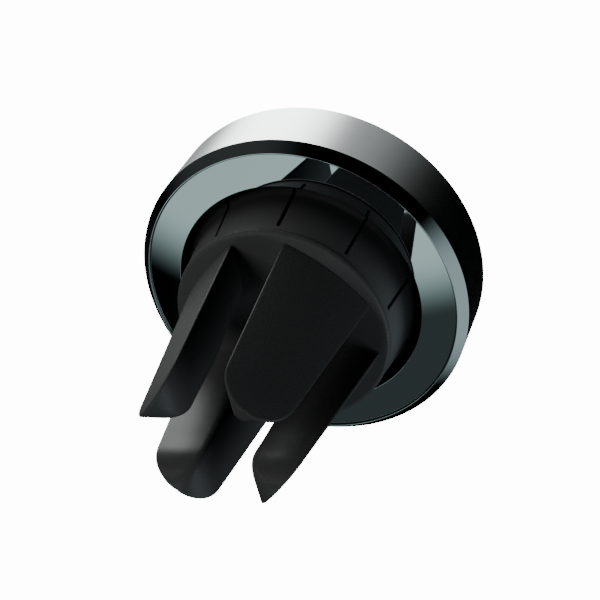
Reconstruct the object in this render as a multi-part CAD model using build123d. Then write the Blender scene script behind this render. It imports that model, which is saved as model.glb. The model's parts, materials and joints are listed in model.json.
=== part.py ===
"""Magnetic air-vent phone mount: a bevelled round magnet head, a ball joint, and a four-jaw vent clip.

Row frame, in mm: Z is the mount's axis and points to the rear, from the phone pad towards the air vent.
Z = 0 is the face of the phone pad. X and Y run along the two slots that a vent vane goes into, so each of
the four jaws sits on a diagonal. Every moving part is drawn at rest: the clip straight, the jaws relaxed.
"""
import math
import os

from build123d import *

os.makedirs("parts", exist_ok=True)

# ---- head: outer ring and rear cover -------------------------------------------------------------------
HEAD_R = 20.0            # outer radius of the aluminium ring at its front edge
HEAD_R_REAR = 19.8       # the same ring at its rear edge: the side has a slight draft
RING_FRONT_Z = 0.5       # the pad stands this far in front of the ring
REAR_EDGE_Z = 8.8        # where the side of the ring turns into the polished bevel
BEVEL_TOP_Z = 9.9
BEVEL_TOP_R = 18.6
RING_BORE_R = 18.55
RING_FRONT_CHAMFER = 0.4
COVER_TOP_Z = 9.65       # rear face of the mirror cover, a step below the bevel
COVER_T = 0.9
COVER_R = 18.5
COVER_HOLE_R = 14.6
COVER_HOLE_CHAMFER = 0.15

# ---- head: the stack behind the pad ---------------------------------------------------------------------
PAD_R, PAD_T, PAD_ROUND = 18.2, 1.0, 0.4
PAD_RIB_RADII = (6.0, 10.5, 15.0)
PAD_GROOVE_W, PAD_GROOVE_D = 0.6, 0.25
FILM_R, FILM_T = 17.6, 0.15
PLATE_R, PLATE_T = 18.5, 0.7
TRAY_R, TRAY_T = 18.4, 2.0
YOKE_R, YOKE_T = 18.4, 0.6
DISH_R, DISH_FLOOR_T = 18.5, 0.5
DISH_BORE_R, DISH_WALL_R = 14.75, 15.6

FILM_Z = PAD_T
PLATE_Z = FILM_Z + FILM_T
TRAY_Z = PLATE_Z + PLATE_T
YOKE_Z = TRAY_Z + TRAY_T
DISH_Z = YOKE_Z + YOKE_T
DISH_FLOOR_Z = DISH_Z + DISH_FLOOR_T
COVER_Z = COVER_TOP_Z - COVER_T

MAGNET_COUNT, MAGNET_R, MAGNET_T = 6, 3.8, 1.8
MAGNET_PITCH_R = 11.6
MAGNET_POCKET_GAP = 0.05
MAGNET_EDGE = 0.2
NUT_POCKET_R = 4.9

SCREW_COUNT, SCREW_PITCH_R, SCREW_FIRST_AZ = 3, 17.0, 30.0
SCREW_HEAD_R, SCREW_HEAD_T = 1.1, 0.8
SCREW_SHANK_R, SCREW_TIP_Z = 0.6, 8.3
SCREW_HOLE_R = 0.65
SCREW_BOSS_R = 1.25
SCREW_DRIVE_R, SCREW_DRIVE_D = 0.45, 0.4

# ---- ball joint -----------------------------------------------------------------------------------------
BALL_Z = 10.5            # the centre that every tilt and spin turns about
BALL_R = 4.2
NECK_R = 2.1
SHOULDER_R, SHOULDER_T = 3.8, 0.8
STUD_R = 1.95
STUD_HOLE_R = 2.0
WASHER_R, WASHER_T = 3.9, 0.3
NUT_AF, NUT_T = 7.0, 1.5
FIT = 0.05               # running clearance between one sphere and the next
SHELL_T = 0.35
SHELL_HALF_H = 1.9
INNER_SHELL_R = BALL_R + FIT
OUTER_SHELL_R = INNER_SHELL_R + SHELL_T + FIT
SOCKET_R = OUTER_SHELL_R + SHELL_T + FIT
DOME_R, DOME_T = 10.3, 0.7
DOME_TOP_Z = BALL_Z - 0.8
DOME_FOOT_R = 7.2

# ---- collar: ten petals with a flared skirt --------------------------------------------------------------
COLLAR_TOP_R, COLLAR_TOP_Z = 12.44, 15.2
COLLAR_FOOT_R, COLLAR_FOOT_Z = 13.35, 9.0     # where the sloping wall turns out into the skirt
COLLAR_BORE_R = 11.4
COLLAR_LIP_R = DOME_R + FIT
COLLAR_LIP_TOP_Z = 11.4
SKIRT_R, SKIRT_EDGE_Z, SKIRT_T = 14.25, 8.6, 0.5
SKIRT_FILLET_R = 0.9
SLIT_COUNT, SLIT_W = 10, 0.4
SLIT_FIRST_AZ = 62.0
SLIT_END_Z = 14.35

# ---- clip base --------------------------------------------------------------------------------------------
FLANGE_R, FLANGE_ROUND = 12.55, 0.5
FACE_Z = 15.8            # rear face of the flange, where the jaws stand
SPIGOT_R, SPIGOT_Z = 11.35, 13.3
BOSS_R, BOSS_Z = 7.5, 7.9
LINER_R = 6.35
LINER_Z, LINER_TOP_Z = 8.35, 14.0
LINER_SLOT_W, LINER_SLOT_TOP_Z = 0.8, 12.6
ROOF_Z = 14.8
RETAINER_R, RETAINER_BORE_R, RETAINER_T = 6.9, 5.5, 0.4
RETAINER_GAP_W = 1.6

# ---- jaws --------------------------------------------------------------------------------------------------
JAW_COUNT, JAW_FIRST_AZ = 4, 45.0
JAW_BASE_Z = 15.95
CORE_FACE_R = 9.9        # distance from the axis of the face that the core's bar is set in from, at the flange
JAW_BOW_R = 23.0         # the outer face is bowed
JAW_CREST_R = 10.72      # distance from the axis of the bowed face's middle line, at the flange
JAW_LEAN = 8.9           # degrees that the outer face leans inwards
# Radial distance and height of the line where a jaw's two inner faces would meet.
RIDGE = [(4.40, 15.8), (4.37, 19.0), (4.24, 23.0), (4.06, 27.2), (3.86, 30.4), (3.76, 33.0), (3.84, 34.1),
         (4.20, 34.95), (4.70, 35.65), (5.35, 36.15), (6.05, 36.5), (6.90, 36.75), (8.40, 37.0)]
JAW_EDGE_ROUND, RIDGE_ROUND = 0.2, 1.2
RIDGE_LENGTH = RIDGE[-1][1] - RIDGE[0][1]
RIDGE_TOLERANCE = 0.02
SLEEVE_WALL = 1.0
CORE_INSET = 1.2         # along the diagonal, so the sleeve is 0.85 thick on the inner faces
CORE_T, CORE_HALF_W, CORE_TOP_Z = 2.4, 2.5, 32.0
FOOT_IN_R, FOOT_OUT_R, FOOT_HALF_W, FOOT_Z = 8.2, 9.8, 2.4, 14.3
PIVOT_R, PIVOT_Z = 9.0, 15.15
PIN_R, PIN_LENGTH = 0.5, 7.0
PIN_BORE_R = 0.55
POCKET_IN_R, POCKET_OUT_R, POCKET_HALF_W, POCKET_Z = 7.7, 10.0, 2.75, 13.9

REACH = 40.0             # longer than the whole mount: for cutting tools that run right through


def revolved(points):
    """A ring or disc from its (radius, height) outline, turned about Z."""
    outline = [(r, 0.0, z) for r, z in points]
    return revolve(make_face(Polyline(*outline, close=True)), Axis.Z, 360)


def tube(outer_r, inner_r, z0, z1):
    """A plain ring between two heights."""
    return revolved([(inner_r, z0), (outer_r, z0), (outer_r, z1), (inner_r, z1)])


def disc(r, z0, z1, x=0.0, y=0.0):
    """A plain disc or rod that stands on z0, with its axis at (x, y)."""
    return Pos(x, y, z0) * extrude(Circle(r), z1 - z0)


def ball(r):
    """A sphere about the joint's centre."""
    return Pos(0, 0, BALL_Z) * Sphere(r)


def block(x0, x1, y0, y1, z0, z1):
    """A box from its limits."""
    return Pos((x0 + x1) / 2, (y0 + y1) / 2, (z0 + z1) / 2) * Box(x1 - x0, y1 - y0, z1 - z0)


def turned(shape, azimuth):
    """The shape turned about the mount's axis."""
    return Rot(0, 0, azimuth) * shape


def around(count, first_az, radius):
    """(x, y) of each of a ring of equally spaced points."""
    angles = [math.radians(first_az + 360.0 * i / count) for i in range(count)]
    return [(radius * math.cos(a), radius * math.sin(a)) for a in angles]


def outer_ring():
    return revolved([
        (RING_BORE_R, RING_FRONT_Z), (HEAD_R - RING_FRONT_CHAMFER, RING_FRONT_Z),
        (HEAD_R, RING_FRONT_Z + RING_FRONT_CHAMFER), (HEAD_R_REAR, REAR_EDGE_Z),
        (BEVEL_TOP_R, BEVEL_TOP_Z), (RING_BORE_R, BEVEL_TOP_Z)])


def rear_cover():
    return revolved([
        (COVER_HOLE_R, COVER_Z), (COVER_R, COVER_Z), (COVER_R, COVER_TOP_Z),
        (COVER_HOLE_R + COVER_HOLE_CHAMFER, COVER_TOP_Z), (COVER_HOLE_R, COVER_TOP_Z - COVER_HOLE_CHAMFER)])


def front_pad():
    pad = disc(PAD_R, 0, PAD_T)
    pad = fillet(pad.edges().group_by(Axis.Z)[0], PAD_ROUND)
    for r in PAD_RIB_RADII:
        pad -= tube(r + PAD_GROOVE_W / 2, r - PAD_GROOVE_W / 2, 0, PAD_GROOVE_D)
    return pad


def magnet_tray():
    tray = disc(TRAY_R, TRAY_Z, YOKE_Z) - disc(NUT_POCKET_R, TRAY_Z, YOKE_Z)
    for x, y in around(MAGNET_COUNT, 0, MAGNET_PITCH_R):
        tray -= disc(MAGNET_R + MAGNET_POCKET_GAP, TRAY_Z, YOKE_Z, x, y)
    for x, y in around(SCREW_COUNT, SCREW_FIRST_AZ, SCREW_PITCH_R):
        tray -= disc(SCREW_HEAD_R + FIT, TRAY_Z, YOKE_Z, x, y)
    return tray


def magnets():
    magnet = disc(MAGNET_R, YOKE_Z - MAGNET_T, YOKE_Z)
    magnet = chamfer(magnet.edges(), MAGNET_EDGE)
    return [Pos(x, y, 0) * magnet for x, y in around(MAGNET_COUNT, 0, MAGNET_PITCH_R)]


def yoke_plate():
    plate = disc(YOKE_R, YOKE_Z, DISH_Z) - disc(STUD_HOLE_R, YOKE_Z, DISH_Z)
    for x, y in around(SCREW_COUNT, SCREW_FIRST_AZ, SCREW_PITCH_R):
        plate -= disc(SCREW_HOLE_R, YOKE_Z, DISH_Z, x, y)
    return plate


def rear_dish():
    """The recess behind the cover: a floor, a round wall and a boss for each housing screw."""
    dish = disc(DISH_R, DISH_Z, DISH_FLOOR_Z) + tube(DISH_WALL_R, DISH_BORE_R, DISH_FLOOR_Z, COVER_Z)
    for x, y in around(SCREW_COUNT, SCREW_FIRST_AZ, SCREW_PITCH_R):
        boss = disc(SCREW_BOSS_R, DISH_FLOOR_Z, COVER_Z, x, y)
        dish += boss - disc(DISH_BORE_R, DISH_FLOOR_Z, COVER_Z)
        dish -= disc(SCREW_SHANK_R, DISH_Z, SCREW_TIP_Z, x, y)
    return dish - disc(STUD_HOLE_R, DISH_Z, DISH_FLOOR_Z)


def housing_screws():
    """Three small screws from behind the pad, through the yoke and into the dish's bosses."""
    screws = []
    for x, y in around(SCREW_COUNT, SCREW_FIRST_AZ, SCREW_PITCH_R):
        head = disc(SCREW_HEAD_R, YOKE_Z - SCREW_HEAD_T, YOKE_Z, x, y)
        drive_z = YOKE_Z - SCREW_HEAD_T
        head -= disc(SCREW_DRIVE_R, drive_z, drive_z + SCREW_DRIVE_D, x, y)
        screws.append(head + disc(SCREW_SHANK_R, YOKE_Z, SCREW_TIP_Z, x, y))
    return Compound(children=screws)


def friction_dome():
    """The round seat that the collar's petals press on: part of a sphere about the ball's centre."""
    shell = ball(DOME_R) - ball(DOME_R - DOME_T)
    shell &= block(-REACH, REACH, -REACH, REACH, DISH_FLOOR_Z, DOME_TOP_Z)
    foot_r = math.sqrt((DOME_R - DOME_T) ** 2 - (BALL_Z - DISH_FLOOR_Z) ** 2)
    return shell + tube(foot_r + DOME_T / 2, DOME_FOOT_R, DISH_FLOOR_Z, DISH_FLOOR_Z + DOME_T / 2)


def ball_stud():
    stud_foot = TRAY_Z + 0.2
    stud = ball(BALL_R) + disc(NECK_R, DISH_FLOOR_Z, BALL_Z)
    stud += disc(SHOULDER_R, DISH_FLOOR_Z, DISH_FLOOR_Z + SHOULDER_T)
    return stud + disc(STUD_R, stud_foot, DISH_FLOOR_Z)


def stud_washer():
    return tube(WASHER_R, STUD_HOLE_R, YOKE_Z - WASHER_T, YOKE_Z)


def stud_nut():
    top = YOKE_Z - WASHER_T
    body = Pos(0, 0, top - NUT_T) * extrude(RegularPolygon(NUT_AF / 2, 6, major_radius=False), NUT_T)
    return body - disc(STUD_R, top - NUT_T, top)


def friction_shell(inner_r):
    """A thin split-mould ring with round faces inside and out, about the ball's centre."""
    shell = ball(inner_r + SHELL_T) - ball(inner_r)
    return shell & block(-REACH, REACH, -REACH, REACH, BALL_Z - SHELL_HALF_H, BALL_Z + SHELL_HALF_H)


def collar():
    """A sleeve under the flange, cut into petals that flare into a thin skirt in the head's recess."""
    bottom_z = SKIRT_EDGE_Z - SKIRT_T
    lip_bottom_r = math.sqrt(COLLAR_LIP_R ** 2 - (bottom_z - BALL_Z) ** 2)
    lip_top_r = math.sqrt(COLLAR_LIP_R ** 2 - (COLLAR_LIP_TOP_Z - BALL_Z) ** 2)
    with BuildPart() as sleeve:
        with BuildSketch(Plane.XZ):
            with BuildLine():
                Polyline((lip_top_r, COLLAR_LIP_TOP_Z), (COLLAR_BORE_R, COLLAR_LIP_TOP_Z),
                         (COLLAR_BORE_R, COLLAR_TOP_Z), (COLLAR_TOP_R, COLLAR_TOP_Z),
                         (COLLAR_FOOT_R, COLLAR_FOOT_Z), (SKIRT_R, SKIRT_EDGE_Z),
                         (SKIRT_R, bottom_z), (lip_bottom_r, bottom_z))
                ThreePointArc((lip_bottom_r, bottom_z), (COLLAR_LIP_R, BALL_Z), (lip_top_r, COLLAR_LIP_TOP_Z))
            make_face()
        revolve(axis=Axis.Z)
    foot = [e for e in sleeve.part.edges().filter_by(GeomType.CIRCLE)
            if abs(e.radius - COLLAR_FOOT_R) < FIT]
    body = fillet(foot, SKIRT_FILLET_R)
    slit = block(0, HEAD_R, -SLIT_W / 2, SLIT_W / 2, 0, SLIT_END_Z)
    slit += Pos(0, 0, SLIT_END_Z) * Rot(0, 90, 0) * extrude(Circle(SLIT_W / 2), HEAD_R)
    for i in range(SLIT_COUNT):
        body -= turned(slit, SLIT_FIRST_AZ + 360.0 * i / SLIT_COUNT)
    return body


def clip_base():
    """Flange, spigot and socket boss in one moulding, with a pocket and pin holes for each jaw's foot."""
    flange = disc(FLANGE_R, COLLAR_TOP_Z, FACE_Z)
    flange = fillet(flange.edges().group_by(Axis.Z)[-1], FLANGE_ROUND)
    base = flange + disc(SPIGOT_R, SPIGOT_Z, COLLAR_TOP_Z) + disc(BOSS_R, BOSS_Z, SPIGOT_Z)
    base -= disc(LINER_R, BOSS_Z, LINER_TOP_Z)
    base -= ball(SOCKET_R) & block(-REACH, REACH, -REACH, REACH, BOSS_Z, ROOF_Z)
    base -= disc(RETAINER_R, LINER_Z - RETAINER_T, LINER_Z)
    pocket = block(POCKET_IN_R, POCKET_OUT_R, -POCKET_HALF_W, POCKET_HALF_W, POCKET_Z, FACE_Z)
    pocket += pin(PIN_R)
    for i in range(JAW_COUNT):
        base -= turned(pocket, JAW_FIRST_AZ + 360.0 * i / JAW_COUNT)
    return base


def socket_liner():
    """The split cup that holds the ball and its two shells."""
    liner = disc(LINER_R, LINER_Z, LINER_TOP_Z) - ball(SOCKET_R)
    slot = block(0, LINER_R * 2, -LINER_SLOT_W / 2, LINER_SLOT_W / 2, LINER_Z, LINER_SLOT_TOP_Z)
    for i in range(JAW_COUNT):
        liner -= turned(slot, 360.0 * i / JAW_COUNT)
    return liner


def retaining_ring():
    ring = tube(RETAINER_R, RETAINER_BORE_R, LINER_Z - RETAINER_T, LINER_Z)
    return ring - block(0, HEAD_R, -RETAINER_GAP_W / 2, RETAINER_GAP_W / 2, 0, LINER_Z)


def pin(r):
    """The rod that a jaw turns on, for the jaw on +X."""
    rod = Rot(90, 0, 0) * extrude(Circle(r), PIN_LENGTH / 2, both=True)
    return Pos(PIVOT_R, 0, PIVOT_Z) * rod


def jaw_solid():
    """One jaw for the diagonal at 45 degrees, before its core is taken out.

    Its two inner faces follow the ridge's profile and face the X and the Y slot, and its bowed outer face
    leans inwards to meet them round the tip.
    """
    profile = [(r / math.sqrt(2), z) for r, z in RIDGE]
    top_z, bottom_z = RIDGE[-1][1], RIDGE[0][1]
    faces = []
    for plane, direction in ((Plane.XZ, (0, 1, 0)), (Plane.YZ, (1, 0, 0))):
        with BuildPart() as prism:
            with BuildSketch(plane):
                with BuildLine():
                    Spline(*profile)
                    Polyline(profile[-1], (FLANGE_R, top_z), (FLANGE_R, bottom_z), profile[0])
                make_face()
            extrude(amount=FLANGE_R, dir=direction)
        faces.append(prism.part)
    barrel = Pos(JAW_CREST_R, 0, FACE_Z) * Rot(0, -JAW_LEAN, 0) * disc(JAW_BOW_R, -REACH, REACH, -JAW_BOW_R)
    jaw = faces[0] & faces[1] & turned(barrel, JAW_FIRST_AZ)
    return jaw - block(-REACH, REACH, -REACH, REACH, 0, JAW_BASE_Z)


def jaw_core(jaw):
    """The stiff inside of a jaw, for the jaw on +X: a leaning bar, and a foot with a bore for its pin."""
    bar = block(-SLEEVE_WALL - CORE_T, -SLEEVE_WALL, -REACH, REACH, -REACH, REACH)
    bar = Pos(CORE_FACE_R, 0, FACE_Z) * Rot(0, -JAW_LEAN, 0) * bar
    bar &= block(0, REACH, -CORE_HALF_W, CORE_HALF_W, JAW_BASE_Z, CORE_TOP_Z)
    bar &= Pos(CORE_INSET, 0, 0) * turned(jaw, -JAW_FIRST_AZ)
    foot = block(FOOT_IN_R, FOOT_OUT_R, -FOOT_HALF_W, FOOT_HALF_W, FOOT_Z, JAW_BASE_Z)
    return bar + foot - pin(PIN_BORE_R)


def rounded_jaw(jaw):
    """The jaw with the rim of its outer face rounded, and then its ridge."""
    diagonal = Vector(1, 1, 0).normalized()
    outer = max(jaw.faces(), key=lambda f: f.center().dot(diagonal))
    jaw = fillet([e for e in outer.edges() if e.center().Z > JAW_BASE_Z + JAW_EDGE_ROUND], JAW_EDGE_ROUND)
    ridge = [e for e in jaw.edges()
             if abs(e.center().X - e.center().Y) < RIDGE_TOLERANCE and e.length > RIDGE_LENGTH / 2
             and e.center().dot(diagonal) < PIVOT_R / 2]
    return fillet(ridge, RIDGE_ROUND)


nodes = {
    "outer_ring": outer_ring(),
    "rear_cover": rear_cover(),
    "rear_dish": rear_dish(),
    "friction_dome": friction_dome(),
    "ball_stud": ball_stud(),
    "stud_washer": stud_washer(),
    "stud_nut": stud_nut(),
    "yoke_plate": yoke_plate(),
    "magnet_tray": magnet_tray(),
    "front_plate": disc(PLATE_R, PLATE_Z, TRAY_Z),
    "pad_film": disc(FILM_R, FILM_Z, PLATE_Z),
    "front_pad": front_pad(),
    "housing_screws": housing_screws(),
    "shell_inner": friction_shell(INNER_SHELL_R),
    "shell_outer": friction_shell(OUTER_SHELL_R),
    "clip_base": clip_base(),
    "collar": collar(),
    "socket_liner": socket_liner(),
    "retaining_ring": retaining_ring(),
}
for i, magnet in enumerate(magnets()):
    nodes[f"magnet_{i + 1}"] = magnet

plain_jaw = jaw_solid()
core = jaw_core(plain_jaw)
sleeve = rounded_jaw(plain_jaw) - turned(core, JAW_FIRST_AZ)
for i in range(JAW_COUNT):
    quarter = 360.0 * i / JAW_COUNT
    nodes[f"jaw_sleeve_{i + 1}"] = turned(sleeve, quarter)
    nodes[f"jaw_core_{i + 1}"] = turned(core, JAW_FIRST_AZ + quarter)
    nodes[f"jaw_pin_{i + 1}"] = turned(pin(PIN_R), JAW_FIRST_AZ + quarter)

for name, shape in nodes.items():
    export_step(shape, f"parts/{name}.step")
    size = shape.bounding_box().size
    print(f"{name:16s} {len(shape.solids())} solid(s) {shape.volume:9.2f} mm3  {size.X:.2f} x {size.Y:.2f} x {size.Z:.2f}")
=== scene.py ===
"""Round magnetic phone mount with a four-jaw vent clip: the finished look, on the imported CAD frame."""
import json
import logging
import math
from dataclasses import dataclass
from enum import Enum
from typing import Callable, Optional, Sequence

import bmesh
import bpy
import numpy as np
from mathutils import Matrix, Vector

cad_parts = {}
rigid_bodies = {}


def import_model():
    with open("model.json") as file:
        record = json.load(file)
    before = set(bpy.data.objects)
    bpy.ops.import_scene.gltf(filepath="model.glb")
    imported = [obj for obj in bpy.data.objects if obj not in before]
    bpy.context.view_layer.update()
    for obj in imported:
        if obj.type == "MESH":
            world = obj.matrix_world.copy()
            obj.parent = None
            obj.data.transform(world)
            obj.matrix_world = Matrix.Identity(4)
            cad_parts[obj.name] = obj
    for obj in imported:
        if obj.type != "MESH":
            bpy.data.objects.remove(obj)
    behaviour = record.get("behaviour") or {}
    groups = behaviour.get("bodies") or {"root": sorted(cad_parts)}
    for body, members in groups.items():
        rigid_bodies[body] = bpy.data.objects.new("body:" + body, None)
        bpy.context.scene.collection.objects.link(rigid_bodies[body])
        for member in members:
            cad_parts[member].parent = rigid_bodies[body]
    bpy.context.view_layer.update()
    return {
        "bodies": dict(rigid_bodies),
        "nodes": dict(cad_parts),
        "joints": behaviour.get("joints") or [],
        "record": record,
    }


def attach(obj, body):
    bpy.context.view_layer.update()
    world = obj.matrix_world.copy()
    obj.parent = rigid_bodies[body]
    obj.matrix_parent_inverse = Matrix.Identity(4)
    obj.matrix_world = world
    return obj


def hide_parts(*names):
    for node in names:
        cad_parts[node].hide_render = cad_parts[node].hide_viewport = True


log = logging.getLogger("scene")
MM = 0.001
SUPPORT = 0.02           # mm between a rounding's end and the extra point that keeps its flat side flat
# Painted shade: the darkest share of colour and specular level that a finish with painted shade keeps at its
# bottom.
PAINTED_SHADE_LEVEL = 0.2            # share of its colour that a shaded finish keeps at the bottom
BROAD_SCALE = 180.0      # features per metre of the slow change in roughness
TURNED_STRETCH = (0.05, 0.05, 3.0)
GRAIN_DETAIL, BROAD_DETAIL = 3.0, 2.0
Field = Callable[[np.ndarray, np.ndarray], np.ndarray]


class Texture(Enum):
    """Named kinds of fine surface relief."""

    NONE = "none"
    GRAIN = "grain"
    TURNED = "turned"


@dataclass(frozen=True)
class Finish:
    """How one surface looks.

    Args:
        name: material name.
        colour: linear base colour.
        metallic: 0 for plastics and rubber, 1 for metals.
        roughness: mean microfacet roughness.
        specular: specular level of a dielectric.
        texture: kind of relief.
        texture_scale: features per metre of the relief.
        relief: bump strength, 0 to 1.
        relief_depth: bump distance in metres.
        roughness_spread: how far roughness wanders either side of its mean.
        painted_shade_bottom: height in mm up to which painted shade darkens the colour and specular level to
            a fifth; 0 for none.
        painted_shade_top: height in mm from which the colour is full, where the painted shade ends.
    """

    name: str
    colour: tuple[float, float, float]
    metallic: float = 0.0
    roughness: float = 0.5
    specular: float = 0.5
    texture: Texture = Texture.NONE
    texture_scale: float = 2500.0
    relief: float = 0.0
    relief_depth: float = 0.00002
    roughness_spread: float = 0.03
    painted_shade_bottom: float = 0.0
    painted_shade_top: float = 0.0


SATIN = Finish("satin_aluminium", (0.78, 0.80, 0.80), 1.0, 0.26, texture=Texture.TURNED, relief=0.03)
BEVEL = Finish("polished_bevel", (0.62, 0.70, 0.70), 1.0, 0.07, roughness_spread=0.01)
MIRROR = Finish("black_mirror", (0.62, 0.70, 0.70), 1.0, 0.02, roughness_spread=0.005)
MOULDING = Finish("black_moulding", (0.028, 0.028, 0.028), 0.0, 0.36, 0.3, texture=Texture.GRAIN, relief=0.05)
# The collar's petals: the moulding with painted shade, darker towards the brim, standing in for the shade low
# on the collar wall.
PETAL_WITH_PAINTED_SHADE = Finish("petal_moulding_painted_shade", (0.036, 0.036, 0.036), 0.0, 0.36, 0.32, texture=Texture.GRAIN, relief=0.05,
               painted_shade_bottom=9.4, painted_shade_top=14.2)
# The collar's brim: a darker, duller copy of the collar moulding, painted shade where the brim lies in shadow
# under the collar wall.
BRIM = Finish("brim_painted_shade", (0.008, 0.008, 0.008), 0.0, 0.6, 0.05)
HOUSING = Finish("black_housing", (0.012, 0.012, 0.012), 0.0, 0.5)
RUBBER = Finish("jaw_rubber", (0.024, 0.024, 0.024), 0.0, 0.34, 0.3, texture=Texture.GRAIN, relief=0.15,
                texture_scale=4600.0, roughness_spread=0.008)
GRAINED = Finish("grained_rubber", (0.024, 0.024, 0.024), 0.0, 0.42, 0.5, texture=Texture.GRAIN, relief=0.9,
                 texture_scale=4200.0, relief_depth=0.00005, roughness_spread=0.01)
PAD = Finish("pad_rubber", (0.02, 0.02, 0.02), 0.0, 0.7, texture=Texture.GRAIN, relief=0.2)
FILM = Finish("adhesive_film", (0.45, 0.45, 0.42), 0.0, 0.4)
STEEL = Finish("polished_steel", (0.62, 0.63, 0.64), 1.0, 0.12)
ZINC = Finish("zinc_steel", (0.52, 0.53, 0.55), 1.0, 0.35, texture=Texture.GRAIN, relief=0.1)
NICKEL = Finish("nickel_magnet", (0.66, 0.65, 0.62), 1.0, 0.18)
NYLON = Finish("white_nylon", (0.74, 0.73, 0.68), 0.0, 0.45)


class Graph:
    """A short way to add nodes to a node tree."""

    def __init__(self, tree: bpy.types.NodeTree) -> None:
        """Empties the tree and keeps it.

        Args:
            tree: the material's or world's node tree.
        """
        self.tree = tree
        tree.nodes.clear()

    def add(self, kind: str, **values) -> bpy.types.Node:
        """Adds a node and sets it up.

        Args:
            kind: the node's type name.
            **values: a node property, or the value of an input socket written with _ for a space.

        Returns:
            The new node.
        """
        node = self.tree.nodes.new(kind)
        for key, value in values.items():
            if hasattr(node, key):
                setattr(node, key, value)
                continue
            socket = node.inputs[int(key[1:])] if key[1:].isdigit() else node.inputs[key.replace("_", " ")]
            if isinstance(value, bpy.types.NodeSocket):
                self.tree.links.new(value, socket)
            else:
                socket.default_value = value
        return node

    def math(self, operation: str, *terms) -> bpy.types.NodeSocket:
        """One arithmetic node.

        Args:
            operation: the Math node's operation.
            *terms: numbers or sockets, in order.

        Returns:
            Its result.
        """
        inputs = {f"i{k}": term for k, term in enumerate(terms)}
        return self.add("ShaderNodeMath", operation=operation, **inputs).outputs[0]

    def ramp(self, value: bpy.types.NodeSocket, start: float, end: float, low: float = 0.0,
             high: float = 1.0) -> bpy.types.NodeSocket:
        """A smooth step from one value to another.

        Args:
            value: the socket to map.
            start: input where the step begins.
            end: input where it ends.
            low: output before the step.
            high: output after it.

        Returns:
            The stepped value.
        """
        node = self.add("ShaderNodeMapRange", interpolation_type="SMOOTHSTEP", Value=value)
        for name, number in (("From Min", start), ("From Max", end), ("To Min", low), ("To Max", high)):
            node.inputs[name].default_value = number
        return node.outputs["Result"]


class MaterialLibrary:
    """Makes each finish's material once."""

    def __init__(self) -> None:
        """Starts empty."""
        self._made: dict[str, bpy.types.Material] = {}

    def get(self, finish: Finish) -> bpy.types.Material:
        """The material for a finish.

        Args:
            finish: what it looks like.

        Returns:
            A procedural material on Object coordinates.
        """
        if finish.name not in self._made:
            self._made[finish.name] = self._make(finish)
        return self._made[finish.name]

    def _make(self, finish: Finish) -> bpy.types.Material:
        """Builds one material: a Principled surface whose roughness and relief come from fine noise.

        Args:
            finish: what it looks like.

        Returns:
            The new material.
        """
        material = bpy.data.materials.new(finish.name)
        material.use_nodes = True
        graph = Graph(material.node_tree)
        coords = graph.add("ShaderNodeTexCoord").outputs["Object"]
        if finish.texture is Texture.TURNED:
            coords = graph.add("ShaderNodeMapping", Vector=coords, Scale=TURNED_STRETCH).outputs[0]
        fine = graph.add("ShaderNodeTexNoise", Vector=coords, Scale=finish.texture_scale,
                         Detail=GRAIN_DETAIL).outputs["Fac"]
        broad = graph.add("ShaderNodeTexNoise", Vector=coords, Scale=BROAD_SCALE,
                          Detail=BROAD_DETAIL).outputs["Fac"]
        spread = finish.roughness_spread
        rough = graph.add("ShaderNodeMapRange", Value=broad)
        rough.inputs["To Min"].default_value = finish.roughness - spread
        rough.inputs["To Max"].default_value = finish.roughness + spread
        colour, specular = (*finish.colour, 1.0), finish.specular
        # Painted shade: colour and specular level fade with height, from a fifth at the painted shade bottom
        # to full at its top.
        if finish.painted_shade_top > 0:
            height = graph.add("ShaderNodeSeparateXYZ", Vector=coords).outputs["Z"]
            painted_shade_ramp = graph.ramp(height, finish.painted_shade_bottom * MM, finish.painted_shade_top * MM, PAINTED_SHADE_LEVEL)
            colour = graph.add("ShaderNodeVectorMath", operation="SCALE", i0=finish.colour,
                               Scale=painted_shade_ramp).outputs[0]
            specular = graph.math("MULTIPLY", painted_shade_ramp, finish.specular)
        shader = graph.add("ShaderNodeBsdfPrincipled", Base_Color=colour, Metallic=finish.metallic,
                           Roughness=rough.outputs[0], Specular_IOR_Level=specular)
        if finish.relief > 0:
            bump = graph.add("ShaderNodeBump", Strength=finish.relief, Distance=finish.relief_depth,
                             Height=fine)
            graph.tree.links.new(bump.outputs[0], shader.inputs["Normal"])
        output = graph.add("ShaderNodeOutputMaterial")
        graph.tree.links.new(shader.outputs[0], output.inputs["Surface"])
        return material


def direction(azimuth: float, elevation: float) -> Vector:
    """A unit vector from its compass angles.

    Args:
        azimuth: degrees from +X towards +Y.
        elevation: degrees above the horizon.

    Returns:
        The unit vector.
    """
    a, e = math.radians(azimuth), math.radians(elevation)
    return Vector((math.cos(a) * math.cos(e), math.sin(a) * math.cos(e), math.sin(e)))


def grid_faces(rows: int, columns: int, wrap: bool) -> np.ndarray:
    """Quads of a grid numbered row by row: each joins (i, j), (i, j+1), (i+1, j+1), (i+1, j).

    Args:
        rows: number of rows.
        columns: number of points in a row.
        wrap: whether the last column joins the first.

    Returns:
        One face per row, four point numbers each.
    """
    j = np.arange(columns if wrap else columns - 1)
    i = np.arange(rows - 1)[:, None] * columns
    after = (j + 1) % columns
    return np.stack([i + j, i + after, i + columns + after, i + columns + j], axis=2).reshape(-1, 4)


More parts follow.
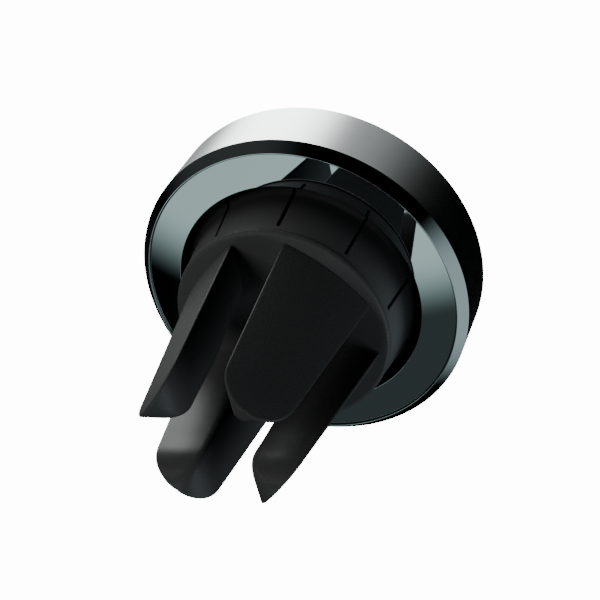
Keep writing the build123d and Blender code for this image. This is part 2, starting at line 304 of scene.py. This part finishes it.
def add_mesh(name: str, points: np.ndarray, faces, materials: Sequence[bpy.types.Material],
             indices: Optional[np.ndarray] = None, sharp: float = 40.0,
             weld: float = 0.0) -> bpy.types.Object:
    """A smooth-shaded mesh object with its faces outwards.

    Args:
        name: the object's name.
        points: vertex places in metres.
        faces: vertex numbers of each face.
        materials: its materials.
        indices: each face's material number.
        sharp: edges bent by more degrees than this stay crisp.
        weld: distance in mm within which points are joined.

    Returns:
        The new object, at the origin.
    """
    mesh = bpy.data.meshes.new(name)
    mesh.from_pydata(np.asarray(points).tolist(), [], faces if isinstance(faces, list) else faces.tolist())
    for material in materials:
        mesh.materials.append(material)
    if indices is not None:
        mesh.polygons.foreach_set("material_index", np.asarray(indices, dtype=np.int32))
    work = bmesh.new()
    work.from_mesh(mesh)
    if weld > 0:
        bmesh.ops.remove_doubles(work, verts=work.verts, dist=weld * MM)
        bmesh.ops.dissolve_degenerate(work, dist=weld * MM / 2, edges=work.edges)
    bmesh.ops.recalc_face_normals(work, faces=work.faces)
    work.to_mesh(mesh)
    work.free()
    mesh.polygons.foreach_set("use_smooth", np.ones(len(mesh.polygons), dtype=bool))
    mesh.set_sharp_from_angle(angle=math.radians(sharp))
    mesh.update()
    piece = bpy.data.objects.new(name, mesh)
    bpy.context.scene.collection.objects.link(piece)
    log.info("%s: %d faces", name, len(mesh.polygons))
    return piece


def fillet_outline(corners: Sequence[tuple[float, float, float]],
                   steps: int = 6) -> tuple[np.ndarray, np.ndarray]:
    """A closed outline with rounded corners: each corner becomes a circle that touches both of its sides.

    Args:
        corners: (radius, height, rounding) in mm, in order round the outline.
        steps: number of pieces in each rounding.

    Returns:
        The outline's points, and for each the number of the corner it came from.
    """
    points, source = [], []
    k_last = len(corners) - 1
    flat = np.array([c[:2] for c in corners])
    for k, (_, _, rounding) in enumerate(corners):
        before, here, after = flat[k - 1], flat[k], flat[(k + 1) % len(flat)]
        a, b = before - here, after - here
        a, b = a / np.linalg.norm(a), b / np.linalg.norm(b)
        half = math.acos(float(np.clip(a @ b, -1, 1))) / 2
        if rounding <= 0:
            points.append(here)
            source.append(k)
            continue
        reach = rounding / math.tan(half)
        start, end = here + a * reach, here + b * reach
        points.append(here + a * (reach + SUPPORT))
        source.append(k - 1 if k else k_last)
        middle = (a + b) / np.linalg.norm(a + b)
        centre = here + middle * rounding / math.sin(half)
        for t in np.linspace(0, 1, steps + 1):
            spoke = (start - centre) * (1 - t) + (end - centre) * t
            points.append(centre + spoke * rounding / np.linalg.norm(spoke))
            source.append(k)
        points.append(here + b * (reach + SUPPORT))
        source.append(k)
    return np.array(points), np.array(source)


def revolve(name: str, corners: Sequence[tuple[float, float, float]], materials: Sequence[bpy.types.Material],
            finish_of: Sequence[int], around: int = 288) -> bpy.types.Object:
    """A ring turned from a closed outline about Z: x = r cos a, y = r sin a.

    Args:
        name: the object's name.
        corners: the outline's corners, as for fillet_outline.
        materials: its materials.
        finish_of: material number of the side that starts at each corner.
        around: number of steps round the axis.

    Returns:
        The new object.
    """
    outline, source = fillet_outline(corners)
    angle = np.linspace(0, 2 * math.pi, around, endpoint=False)[:, None]
    radius, height = outline.T
    points = np.stack([radius * np.cos(angle), radius * np.sin(angle), height + 0 * angle], axis=2)
    faces = grid_faces(around + 1, len(outline), wrap=True) % (around * len(outline))
    index = np.array(finish_of)[source[faces[:, 0] % len(outline)]]
    return add_mesh(name, points.reshape(-1, 3) * MM, faces, materials, index, sharp=28.0)


class Head:
    """The head's outside: the aluminium ring with its polished bevel, and the mirror cover."""

    RING = ((18.55, 0.5, 0.0), (19.6, 0.5, 0.1), (20.0, 0.9, 0.15), (19.8, 8.8, 0.05), (18.72, 9.9, 0.04),
            (18.55, 9.9, 0.1), (18.55, 9.4, 0.0))
    RING_FINISH = (0, 0, 0, 1, 1, 1, 0)
    COVER = ((14.6, 8.75, 0.0), (18.5, 8.75, 0.0), (18.5, 9.65, 0.0), (14.6, 9.65, 0.07))

    def __init__(self, library: MaterialLibrary) -> None:
        """Builds both and puts them on the head.

        Args:
            library: where their materials come from.
        """
        ring = revolve("ring", self.RING, [library.get(SATIN), library.get(BEVEL)], self.RING_FINISH)
        cover = revolve("cover", self.COVER, [library.get(MIRROR)], (0, 0, 0, 0))
        pieces = ((ring, "outer_ring", "satin_aluminium"), (cover, "rear_cover", "black_mirror"))
        for piece, node, slot in pieces:
            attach(piece, "head")
            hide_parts(node)


@dataclass(frozen=True)
class CollarShape:
    """Measurements of the collar's slits, in mm.

    Args:
        slits: number of slits.
        first_azimuth: degrees of the first slit.
        half_slit: half of a slit's width.
        slit_top: height of the middle of a slit's round end.
        slit_depth: how deep a slit is cut.
        slit_round: radius of a slit's edges.
        skirt_depth: depth of a slit in the thin skirt.
    """

    slits: int = 10
    first_azimuth: float = 62.0
    half_slit: float = 0.17
    slit_top: float = 14.2
    slit_depth: float = 0.85
    slit_round: float = 0.1
    skirt_depth: float = 0.42


class Collar:
    """The petalled collar between the flange and the head."""

    OUTLINE = ((10.1, 8.1, 0.0), (14.25, 8.1, 0.05), (14.25, 8.6, 0.08), (13.4, 8.95, 0.35),
               (12.44, 15.2, 0.12), (11.4, 15.2, 0.0), (11.4, 11.4, 0.0), (10.31, 11.4, 0.0),
               (10.35, 10.5, 0.0))
    OFFSETS = (0.0, 0.08, 0.14, 0.165, 0.175, 0.19, 0.21, 0.235, 0.27, 0.32)
    PETAL_STEPS = 12
    CUT_FROM, CUT_TO = 1, 4
    CUT_BOTTOM_Z, SKIRT_TOP_Z, BRIM_TOP_Z = 8.12, 9.1, 9.6
    WALL_STEP, LONG_SIDE, SHORT_SIDE = 0.2, 3.0, 0.3
    END_BELOW, END_ABOVE, END_STEPS = 0.03, 0.05, 24
    FAR_AWAY = 9.0

    def __init__(self, shape: CollarShape, library: MaterialLibrary) -> None:
        """Builds the collar and puts it on the clip.

        Args:
            shape: its slits' measurements.
            library: where its materials come from.
        """
        self.shape = shape
        points, faces, index = self._surface()
        finishes = [library.get(PETAL_WITH_PAINTED_SHADE), library.get(BRIM)]
        piece = add_mesh("collar_petals", points * MM, faces, finishes, index, sharp=50.0)
        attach(piece, "clip")
        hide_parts("collar")

    def _outline(self) -> tuple[np.ndarray, np.ndarray]:
        """The outline, with its straight sides divided at even steps, finer by the slits' ends.

        Returns:
            Its points, and for each the number of the corner it came from.
        """
        corners, source = fillet_outline(self.OUTLINE, steps=8)
        points, origin = [], []
        for k in range(len(corners)):
            here, after = corners[k], corners[(k + 1) % len(corners)]
            after_in_cut = source[(k + 1) % len(corners)] <= self.CUT_TO
            in_cut = self.CUT_FROM <= source[k] <= self.CUT_TO and after_in_cut
            length = np.linalg.norm(after - here)
            if in_cut and length > self.SHORT_SIDE:
                t = np.linspace(0, 1, max(2, int(length / self.WALL_STEP)))
                if length > self.LONG_SIDE:
                    end = abs(self.shape.slit_top - here[1]) / abs(after[1] - here[1])
                    finer = np.linspace(end - self.END_BELOW, end + self.END_ABOVE, self.END_STEPS)
                    t = np.unique(np.concatenate([t, finer]))
                t = t[:-1]
            else:
                t = np.array([0.0])
            points.extend(here + (after - here) * f for f in t)
            origin.extend([source[k]] * len(t))
        return np.array(points), np.array(origin)

    def _surface(self) -> tuple[np.ndarray, np.ndarray, np.ndarray]:
        """The collar's mesh.

        Columns run parallel to each slit near it and spread evenly over the petal between. A point closer
        to a slit's middle line than half its width is pushed in along the outline's normal by the slit's
        depth; one just outside is lowered by the slit's edge rounding, r - sqrt(r^2 - (r - d)^2).

        Returns:
            Points, faces and material numbers.
        """
        f = self.shape
        outline, origin = self._outline()
        tangent = np.roll(outline, -1, axis=0) - np.roll(outline, 1, axis=0)
        normal = np.stack([-tangent[:, 1], tangent[:, 0]], axis=1)
        normal /= np.linalg.norm(normal, axis=1, keepdims=True)
        cut = (origin >= self.CUT_FROM) & (origin <= self.CUT_TO)
        cut &= outline[:, 1] < f.slit_top + f.half_slit + f.slit_round
        cut &= outline[:, 1] > self.CUT_BOTTOM_Z
        near = np.array(self.OFFSETS)
        lateral = np.concatenate([-near[:0:-1], near])
        pitch = 2 * math.pi / f.slits
        radius = outline[:, 0][None, :]
        spread = np.linspace(0, 1, self.PETAL_STEPS + 2)[1:-1]
        close = lateral[:, None] / radius
        last = near[-1] / radius
        far = last + (pitch - 2 * last) * spread[:, None]
        angle = np.concatenate([close, far], axis=0)
        sideways = np.concatenate([np.abs(lateral), np.full(spread.size, self.FAR_AWAY)])[:, None]
        above = np.maximum(outline[:, 1] - f.slit_top, 0)[None, :]
        distance = np.hypot(sideways, above) - f.half_slit
        inset = np.clip(f.slit_round - distance, 0, f.slit_round)
        edge = f.slit_round - np.sqrt(np.maximum(f.slit_round ** 2 - inset ** 2, 0))
        deep = np.where(outline[:, 1] < self.SKIRT_TOP_Z, f.skirt_depth, f.slit_depth)[None, :]
        depth = np.where(distance < 0, deep, edge) * cut[None, :]
        r = radius + normal[None, :, 0] * depth
        z = outline[None, :, 1] + normal[None, :, 1] * depth
        first = math.radians(f.first_azimuth)
        turns = first + pitch * np.arange(f.slits)[:, None, None] + angle[None]
        points = np.stack([r * np.cos(turns), r * np.sin(turns), z + 0 * turns], axis=3).reshape(-1, 3)
        columns, size = f.slits * angle.shape[0], len(outline)
        faces = grid_faces(columns + 1, size, wrap=True) % (columns * size)
        # Faces below the brim's top get the brim material, whose darkness is painted shade.
        index = (outline[faces[:, 0] % size, 1] < self.BRIM_TOP_Z).astype(int)
        return points, faces, index


@dataclass(frozen=True)
class JawShape:
    """Measurements of a jaw, in mm. Heights are in the row frame; r is the distance from the clip's axis.

    Args:
        base_z: where the jaw starts, just above the flange.
        face_z: height of the flange's face.
        face_r: distance of the outer face's edges from the axis at the flange.
        lean: degrees that the outer face leans inwards.
        bow: radius of the outer face's slight roundness.
        rim_round: radius of the rim between the outer and inner faces.
        ridge_r: distance from the axis, at the flange, of the line where the inner faces would meet.
        ridge_lean: how much that distance shrinks for each mm of height.
        tip_start_z: where the tip starts to round off.
        tip_length: height of the rounded tip.
        tip_power: how squarely the tip is rounded; 2 is an ellipse.
        nose: how far the ridge stands out below the tip.
        nose_start_z: where it starts to.
        keen: least radius of the ridge.
        blunt: how much larger it is at the flange.
        blunt_reach: height over which that fades.
        tip_blunt: how much larger it is at the tip.
        rows: number of sections from base to tip.
        columns: number of points across each face.
    """

    base_z: float = 15.99
    face_z: float = 15.8
    face_r: float = 10.0
    lean: float = 7.0
    bow: float = 23.0
    rim_round: float = 0.17
    ridge_r: float = 4.15
    ridge_lean: float = 0.0205
    tip_start_z: float = 32.92
    tip_length: float = 3.94
    tip_power: float = 2.5
    nose: float = 0.1
    nose_start_z: float = 30.6
    keen: float = 0.42
    blunt: float = 3.2
    blunt_reach: float = 8.0
    tip_blunt: float = 1.1
    rows: int = 150
    columns: int = 41


class Jaw:
    """One jaw: two flat inner faces that meet in a rounded ridge, under a slightly bowed outer face."""

    WELD = 0.004
    ARC_STEPS = 6
    SLOPE_STEP = 0.01
    LEAST_WIDTH = 0.05

    def __init__(self, shape: JawShape, number: int, library: MaterialLibrary) -> None:
        """Builds the jaw and puts it on its body.

        Args:
            shape: its measurements.
            number: which jaw it is, 1 to 4.
            library: where its materials come from.
        """
        self.shape = shape
        points, faces, outer = self._surface()
        turn = math.radians(90.0 * number - 45.0)
        c, s = math.cos(turn), math.sin(turn)
        points = points @ np.array([[c, s, 0], [-s, c, 0], [0, 0, 1]])
        finishes = [library.get(RUBBER), library.get(GRAINED)]
        piece = add_mesh(f"jaw_{number}_rubber", points * MM, faces, finishes, outer, weld=self.WELD)
        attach(piece, f"jaw_{number}")
        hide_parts(f"jaw_sleeve_{number}")

    def _round(self, z: np.ndarray) -> np.ndarray:
        """Radius of the ridge: the least, plus a bell of the height, plus a square rise to the tip.

        Args:
            z: heights in mm.

        Returns:
            The radius at each height, in mm.
        """
        f = self.shape
        up = (z - f.face_z) / f.blunt_reach
        rise = np.clip((z - f.tip_start_z) / f.tip_length, 0, 1)
        return f.keen + f.blunt * np.exp(-up ** 2) + f.tip_blunt * rise ** 2

    def _corner(self, s: np.ndarray, z: np.ndarray) -> np.ndarray:
        """How far the inner faces stand out at s: |s|, with a circle of the ridge's radius in the corner.

        Args:
            s: distances from the jaw's middle plane, in mm.
            z: heights in mm.

        Returns:
            Distances in mm, measured from where the two flat faces would meet.
        """
        rho = self._round(z)
        near = rho * math.sqrt(2) - np.sqrt(np.maximum(rho ** 2 - s ** 2, 0))
        return np.where(np.abs(s) < rho / math.sqrt(2), near, np.abs(s))

    def half_width(self, z: np.ndarray) -> np.ndarray:
        """Half the width at the outer face: a straight taper, times sqrt(1 - u^n) over the rounded tip.

        Args:
            z: heights in mm.

        Returns:
            Half widths in mm.
        """
        f = self.shape
        ridge = f.ridge_r - f.ridge_lean * (z - f.face_z)
        u = np.clip((z - f.tip_start_z) / f.tip_length, 0, 1)
        return (self.edge(z) - ridge) * np.sqrt(1 - u ** f.tip_power)

    def inner(self, s: np.ndarray, z: np.ndarray) -> np.ndarray:
        """Distance from the axis of the inner faces: the edge's, less the corner form there, plus it at s.

        Below the tip the ridge stands out further, by the squared sine of half a turn times
        (1 - (s/w)^2)^2.

        Args:
            s: distances from the jaw's middle plane, in mm.
            z: heights in mm.

        Returns:
            Distances from the clip's axis, in mm.
        """
        f = self.shape
        w = self.half_width(z)
        tip_z = f.tip_start_z + f.tip_length
        bell = f.nose * np.sin(math.pi * np.clip((z - f.nose_start_z) / (tip_z - f.nose_start_z), 0, 1)) ** 2
        across = np.clip(1 - (s / np.maximum(w, self.LEAST_WIDTH)) ** 2, 0, 1) ** 2
        return self.edge(z) - self._corner(w, z) + self._corner(s, z) - bell * across

    def edge(self, z: np.ndarray) -> np.ndarray:
        """Distance from the axis of the outer face's edges: face_r less tan(lean) times the height."""
        return self.shape.face_r - (z - self.shape.face_z) * math.tan(math.radians(self.shape.lean))

    def _rim(self) -> tuple[np.ndarray, np.ndarray]:
        """The rim from the base to the tip, at even steps of its length.

        Returns:
            Half widths and heights in mm.
        """
        tip = self.shape.tip_start_z + self.shape.tip_length
        span = np.linspace(0, 1, 4000)
        z = self.shape.base_z + (tip - self.shape.base_z) * (1 - (1 - span) ** 3)
        w = self.half_width(z)
        z, w = z[w > 1e-4], w[w > 1e-4]
        length = np.concatenate([[0], np.cumsum(np.hypot(np.diff(w), np.diff(z)))])
        even = np.linspace(0, length[-1], self.shape.rows)
        return np.interp(even, length, w), np.interp(even, length, z)

    def _gradient(self, field: Field, s: np.ndarray, z: np.ndarray) -> np.ndarray:
        """Unit normals of the surface r = field(s, z), by central differences.

        Args:
            field: the surface.
            s: distances from the jaw's middle plane, in mm.
            z: heights in mm.

        Returns:
            One normal per row, as (r, s, z).
        """
        h = self.SLOPE_STEP
        ds = (field(s + h, z) - field(s - h, z)) / (2 * h)
        dz = (field(s, z + h) - field(s, z - h)) / (2 * h)
        normal = np.stack([np.ones_like(s), -ds, -dz], axis=1)
        return normal / np.linalg.norm(normal, axis=1, keepdims=True)

    def _surface(self) -> tuple[np.ndarray, np.ndarray, np.ndarray]:
        """The mesh of the jaw that points along +X.

        Each section runs across the inner faces, round one rim, across the outer face and round the other.
        A rim is a circle of radius rim_round that touches both faces, found from their directions there.

        Returns:
            Points, faces and material numbers.
        """
        w, z = self._rim()
        corner = np.stack([self.edge(z), w, z], axis=1)
        n_in = -self._gradient(self.inner, w, z)
        n_out = self._gradient(lambda s, zz: self.edge(zz) - (s ** 2 - w ** 2) / (2 * self.shape.bow), w, z)
        along = np.cross(n_in, n_out)
        along /= np.linalg.norm(along, axis=1, keepdims=True)
        d_in, d_out = np.cross(n_in, along), np.cross(n_out, along)
        d_in *= -np.sign(np.sum(d_in * n_out, axis=1, keepdims=True))
        d_out *= -np.sign(np.sum(d_out * n_in, axis=1, keepdims=True))
        half = np.arccos(np.clip(np.sum(d_in * d_out, axis=1), -1, 1)) / 2
        setback = (self.shape.rim_round / np.tan(half))[:, None]
        inner_end, outer_end = corner + d_in * setback, corner + d_out * setback
        for end in (inner_end, outer_end):
            end[:, 1] = np.maximum(end[:, 1], 0)
            end[-1, 1] = 0
            end[0, 2] = self.shape.base_z
        middle = d_in + d_out
        middle /= np.linalg.norm(middle, axis=1, keepdims=True)
        centre = corner + middle * (self.shape.rim_round / np.sin(half))[:, None]
        arc = []
        for k in np.linspace(0, 1, self.ARC_STEPS)[1:-1]:
            spoke = (inner_end - centre) * (1 - k) + (outer_end - centre) * k
            spoke *= self.shape.rim_round / np.linalg.norm(spoke, axis=1, keepdims=True)
            arc.append(centre + spoke)
        arc = np.stack(arc, axis=1)
        arc[-1, :, 1] = 0
        arc[0, :, 2] = self.shape.base_z
        t = np.linspace(-1, 1, self.shape.columns)
        rows = []
        for end, field in ((inner_end, self.inner), (outer_end, self._bowed(w, z))):
            s = end[:, 1:2] * t
            height = np.repeat(end[:, 2:3], t.size, axis=1)
            rows.append(np.stack([field(s, height), s, height], axis=2))
        mirror = np.array([1.0, -1.0, 1.0])
        ring = np.concatenate([rows[0], arc, rows[1][:, ::-1], (arc * mirror)[:, ::-1]], axis=1)
        count, size = ring.shape[:2]
        faces = grid_faces(count, size, wrap=True)
        column = faces[:, 0] % size
        side = self.ARC_STEPS - 2
        is_outer = (column >= t.size + side) & (column < 2 * t.size + side - 1)
        points = ring.reshape(-1, 3)
        base = np.arange(size)[::-1]
        return points, [*faces.tolist(), base.tolist()], np.append(is_outer.astype(int), 0)

    def _bowed(self, w: np.ndarray, z: np.ndarray) -> Field:
        """The outer face as a function of s and z, bowed from the rim's own half width so that they meet.

        Args:
            w: the rim's half widths, in mm.
            z: the rim's heights, in mm.

        Returns:
            The function.
        """
        def field(s: np.ndarray, height: np.ndarray) -> np.ndarray:
            wide = np.interp(height, z, w)
            return self.edge(height) + (wide ** 2 - s ** 2) / (2 * self.shape.bow)
        return field


@dataclass(frozen=True)
class Lobe:
    """A round soft light seen in reflections.

    Args:
        azimuth: degrees of its middle.
        elevation: degrees of its middle.
        inner: angle from the middle, in degrees, up to which it is at full strength.
        outer: angle at which it has faded out.
        radiance: linear colour at full strength.
    """

    azimuth: float
    elevation: float
    inner: float
    outer: float
    radiance: tuple[float, float, float]


class Studio:
    """Floor, surroundings, lamps and camera."""

    LOBES: Sequence[Lobe] = (
        Lobe(222, -55, 0, 27, (6.0, 6.2, 6.2)),
        Lobe(226, -55, 28, 60, (0.42, 0.44, 0.44)),
        Lobe(52, 16, 14, 50, (0.40, 0.47, 0.49)),
        Lobe(305, 68, 17, 20.5, (0.52, 0.64, 0.64)),
        Lobe(350, 52, 14, 24, (0.04, 0.05, 0.05)),
        Lobe(225, 15, 10, 45, (0.04, 0.042, 0.042)),
    )

    LAMP_DISTANCE = 0.35
    FLOOR_SIZE, FLOOR_GLOW = 4.0, 14.0
    CAMERA_PLACE = (-63.62, 47.45, 107.0)
    CAMERA_RIGHT = (0.210234, 0.926692, -0.31151)
    CAMERA_UP = (-0.835406, 0.004763, -0.54962)
    LENS, SENSOR = 65.1, 36.0

    def __init__(self) -> None:
        """Builds everything in the studio."""
        self._world()
        self._floor()
        self._lamps()
        self._camera()

    def _world(self) -> None:
        """Surroundings: each light is a smooth step of the cosine between the ray and the light's middle."""
        world = bpy.data.worlds.new("studio")
        bpy.context.scene.world = world
        world.use_nodes = True
        graph = Graph(world.node_tree)
        ray = graph.add("ShaderNodeTexCoord").outputs["Generated"]
        total = None
        for lobe in self.LOBES:
            cosine = graph.add("ShaderNodeVectorMath", operation="DOT_PRODUCT", i0=ray,
                               i1=direction(lobe.azimuth, lobe.elevation)).outputs["Value"]
            level = graph.ramp(cosine, math.cos(math.radians(lobe.outer)), math.cos(math.radians(lobe.inner)))
            tint = graph.add("ShaderNodeVectorMath", operation="SCALE", i0=lobe.radiance,
                             Scale=level).outputs[0]
            if total is not None:
                tint = graph.add("ShaderNodeVectorMath", operation="ADD", i0=total, i1=tint).outputs[0]
            total = tint
        background = graph.add("ShaderNodeBackground", Color=total, Strength=1.0)
        output = graph.add("ShaderNodeOutputWorld")
        graph.tree.links.new(background.outputs[0], output.inputs["Surface"])

    def _floor(self) -> None:
        """A plain pale floor that the mount stands on."""
        bpy.ops.mesh.primitive_plane_add(size=self.FLOOR_SIZE, location=(0, 0, 0))
        floor = bpy.context.object
        floor.name = "floor"
        material = bpy.data.materials.new("floor")
        material.use_nodes = True
        graph = Graph(material.node_tree)
        shader = graph.add("ShaderNodeEmission", Color=(1, 1, 1, 1), Strength=self.FLOOR_GLOW)
        output = graph.add("ShaderNodeOutputMaterial")
        graph.tree.links.new(shader.outputs[0], output.inputs["Surface"])
        floor.data.materials.append(material)
        floor.visible_glossy = False
        floor.visible_diffuse = False

    def _lamps(self) -> None:
        """Two soft lamps: a white key, and a cool one from the far side."""
        self._lamp("key", (225, 38), 0.20, 1.5, (1.0, 1.0, 1.0))
        self._lamp("rim", (62, 25), 0.20, 1.2, (0.85, 0.95, 1.0))

    def _lamp(self, name: str, place: tuple[float, float], size: float, power: float,
              tint: tuple[float, float, float]) -> None:
        """One square soft lamp aimed at the clip. Mirrors don't show it: they show the surroundings.

        Args:
            name: the lamp's name.
            place: its azimuth and elevation, in degrees.
            size: its edge, in metres.
            power: in watts.
            tint: its colour.
        """
        data = bpy.data.lights.new(name, "AREA")
        data.size, data.energy, data.color = size, power, tint
        lamp = bpy.data.objects.new(name, data)
        bpy.context.scene.collection.objects.link(lamp)
        toward = direction(*place)
        lamp.location = toward * self.LAMP_DISTANCE
        lamp.rotation_mode = "QUATERNION"
        lamp.rotation_quaternion = (-toward).to_track_quat("-Z", "Y")
        lamp.visible_glossy = False

    def _camera(self) -> None:
        """The camera, above the mount's far side and rolled so that the clip hangs down."""
        right, up = Vector(self.CAMERA_RIGHT), Vector(self.CAMERA_UP)
        back = right.cross(up).normalized()
        data = bpy.data.cameras.new("camera")
        data.lens, data.sensor_width = self.LENS, self.SENSOR
        data.clip_start, data.clip_end = 0.005, 5.0
        camera = bpy.data.objects.new("camera", data)
        bpy.context.scene.collection.objects.link(camera)
        frame = Matrix((right, up, back)).transposed().to_4x4()
        camera.matrix_world = Matrix.Translation(Vector(self.CAMERA_PLACE) * MM) @ frame
        bpy.context.scene.camera = camera


class Paint:
    """Gives every CAD node a finish."""

    FINISHES = {
        "outer_ring": SATIN, "rear_cover": MIRROR, "rear_dish": HOUSING, "friction_dome": HOUSING,
        "ball_stud": STEEL, "stud_washer": ZINC, "stud_nut": ZINC, "yoke_plate": ZINC, "magnet_tray": HOUSING,
        "front_plate": HOUSING, "pad_film": FILM, "front_pad": PAD, "housing_screws": ZINC,
        "shell_inner": NYLON, "shell_outer": NYLON, "clip_base": MOULDING, "collar": MOULDING,
        "socket_liner": NYLON, "retaining_ring": ZINC, "magnet": NICKEL, "jaw_sleeve": RUBBER,
        "jaw_core": HOUSING, "jaw_pin": ZINC,
    }

    @classmethod
    def apply(cls, frame: dict, library: MaterialLibrary) -> None:
        """Puts a finish on each node's object.

        Args:
            library: where materials come from.
        """
        for name, node in frame["nodes"].items():
            finish = cls.FINISHES.get(name) or cls.FINISHES[name.rstrip("0123456789").rstrip("_")]
            for k in range(len(node.material_slots)):
                node.material_slots[k].link = "OBJECT"
                node.material_slots[k].material = library.get(finish)


def main() -> None:
    """Loads the frame and builds the look on it."""
    logging.basicConfig(level=logging.INFO)
    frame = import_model()
    library = MaterialLibrary()
    Paint.apply(frame, library)
    Head(library)
    Collar(CollarShape(), library)
    for number in range(1, 5):
        Jaw(JawShape(), number, library)
    Studio()


if __name__ == "__main__":
    main()
